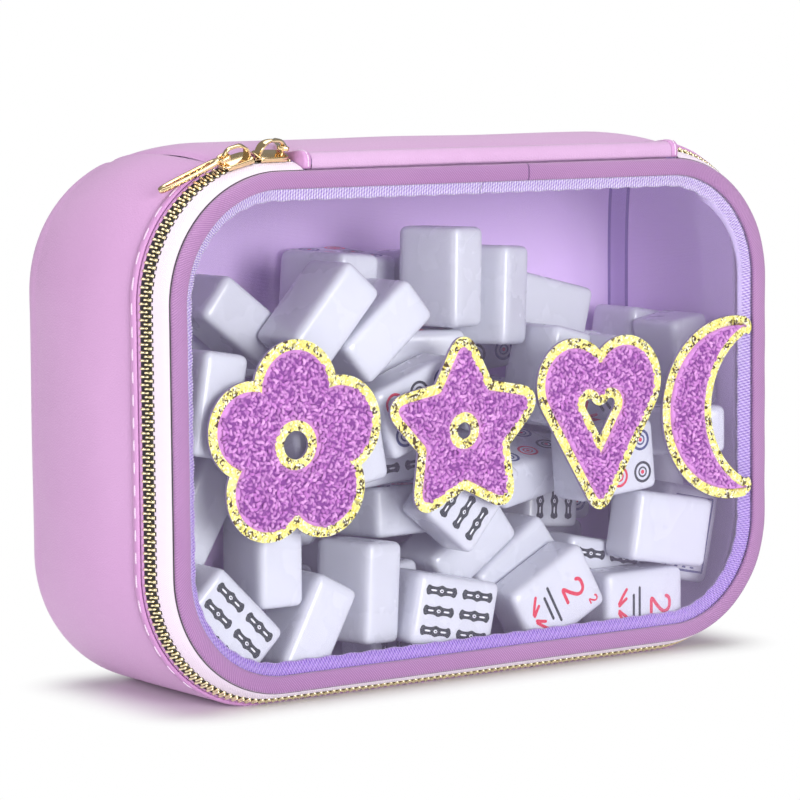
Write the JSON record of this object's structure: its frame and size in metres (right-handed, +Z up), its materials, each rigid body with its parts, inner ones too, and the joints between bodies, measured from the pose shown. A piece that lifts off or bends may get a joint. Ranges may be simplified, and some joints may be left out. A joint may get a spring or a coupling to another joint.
{
  "type": "zippered tile case",
  "caption": "Soft zippered carrying case for tile games, with a clear hinged front flap edged in twill, pile patches on the window and loose tiles inside.",
  "frame": {"origin": "on the ground under the middle of the case", "axes": "+Z up, the clear front flap at -Y, +X to the right seen from the front"},
  "size_m": [0.2778, 0.102, 0.1943],
  "materials": {
    "leather": "satin",
    "lining": "matte",
    "tape": "matte",
    "teeth": "polished",
    "binding": "satin",
    "clear_film": "gloss",
    "band": "matte",
    "glitter": "glitter",
    "pile": "curly pile",
    "gold": "polished",
    "tile": "satin"
  },
  "bodies": {
    "case_body": {"side_gusset": "leather", "top_panel": "leather", "back_panel": "leather", "lining": "lining", "zip_tab_left": "leather", "zip_tab_right": "leather", "folded_rim": "leather", "zip_tape_rear": "tape", "zip_tape_top_left": "tape", "zip_tape_top_right": "tape", "zip_teeth_rear": "teeth", "zip_teeth_top": "teeth", "tiles_bamboo": "tile", "tiles_blank": "tile", "tiles_dots": "tile", "tiles_frame": "tile", "tiles_number": "tile"},
    "flap": {"flap_binding": "binding", "clear_window": "clear_film", "inner_band": "band", "zip_tape_front": "tape", "zip_teeth_front": "teeth", "patch_blossom_backing": "glitter", "patch_blossom_pile": "pile", "patch_heart_backing": "glitter", "patch_heart_pile": "pile", "patch_moon_backing": "glitter", "patch_moon_pile": "pile", "patch_star_backing": "glitter", "patch_star_pile": "pile"},
    "slider_1": {"slider_1": "gold"},
    "slider_2": {"slider_2": "gold"},
    "pull_1": {"slider_pull_1": "gold"},
    "pull_2": {"slider_pull_2": "gold"}
  },
  "joints": [
    {"name": "flap_hinge", "type": "hinge", "parent": "case_body", "child": "flap", "pos_m": [0, -0.04895, 0.1838], "axis": [-1, 0, 0], "range_deg": [0, 165], "deforming": ["zip_teeth_front"]},
    {"name": "slider_1_travel", "type": "hinge", "parent": "case_body", "child": "slider_1", "pos_m": [-0.086, -0.04895, 0.1395], "axis": [0, -1, 0], "range_deg": [0, 45], "deforming": ["zip_teeth_rear", "zip_teeth_top"]},
    {"name": "slider_2_travel", "type": "slide", "parent": "case_body", "child": "slider_2", "axis": [1, 0, 0], "range_m": [0, 0.0012]},
    {"name": "pull_1_swing", "type": "hinge", "parent": "slider_1", "child": "pull_1", "pos_m": [-0.10043, -0.03938, 0.18896], "axis": [-0.093, 0.9272, 0.3629], "range_deg": [0, 85]},
    {"name": "pull_2_swing", "type": "hinge", "parent": "slider_2", "child": "pull_2", "pos_m": [-0.0823, -0.03938, 0.19099], "axis": [0, -0.9272, -0.3746], "range_deg": [0, 85]}
  ]
}
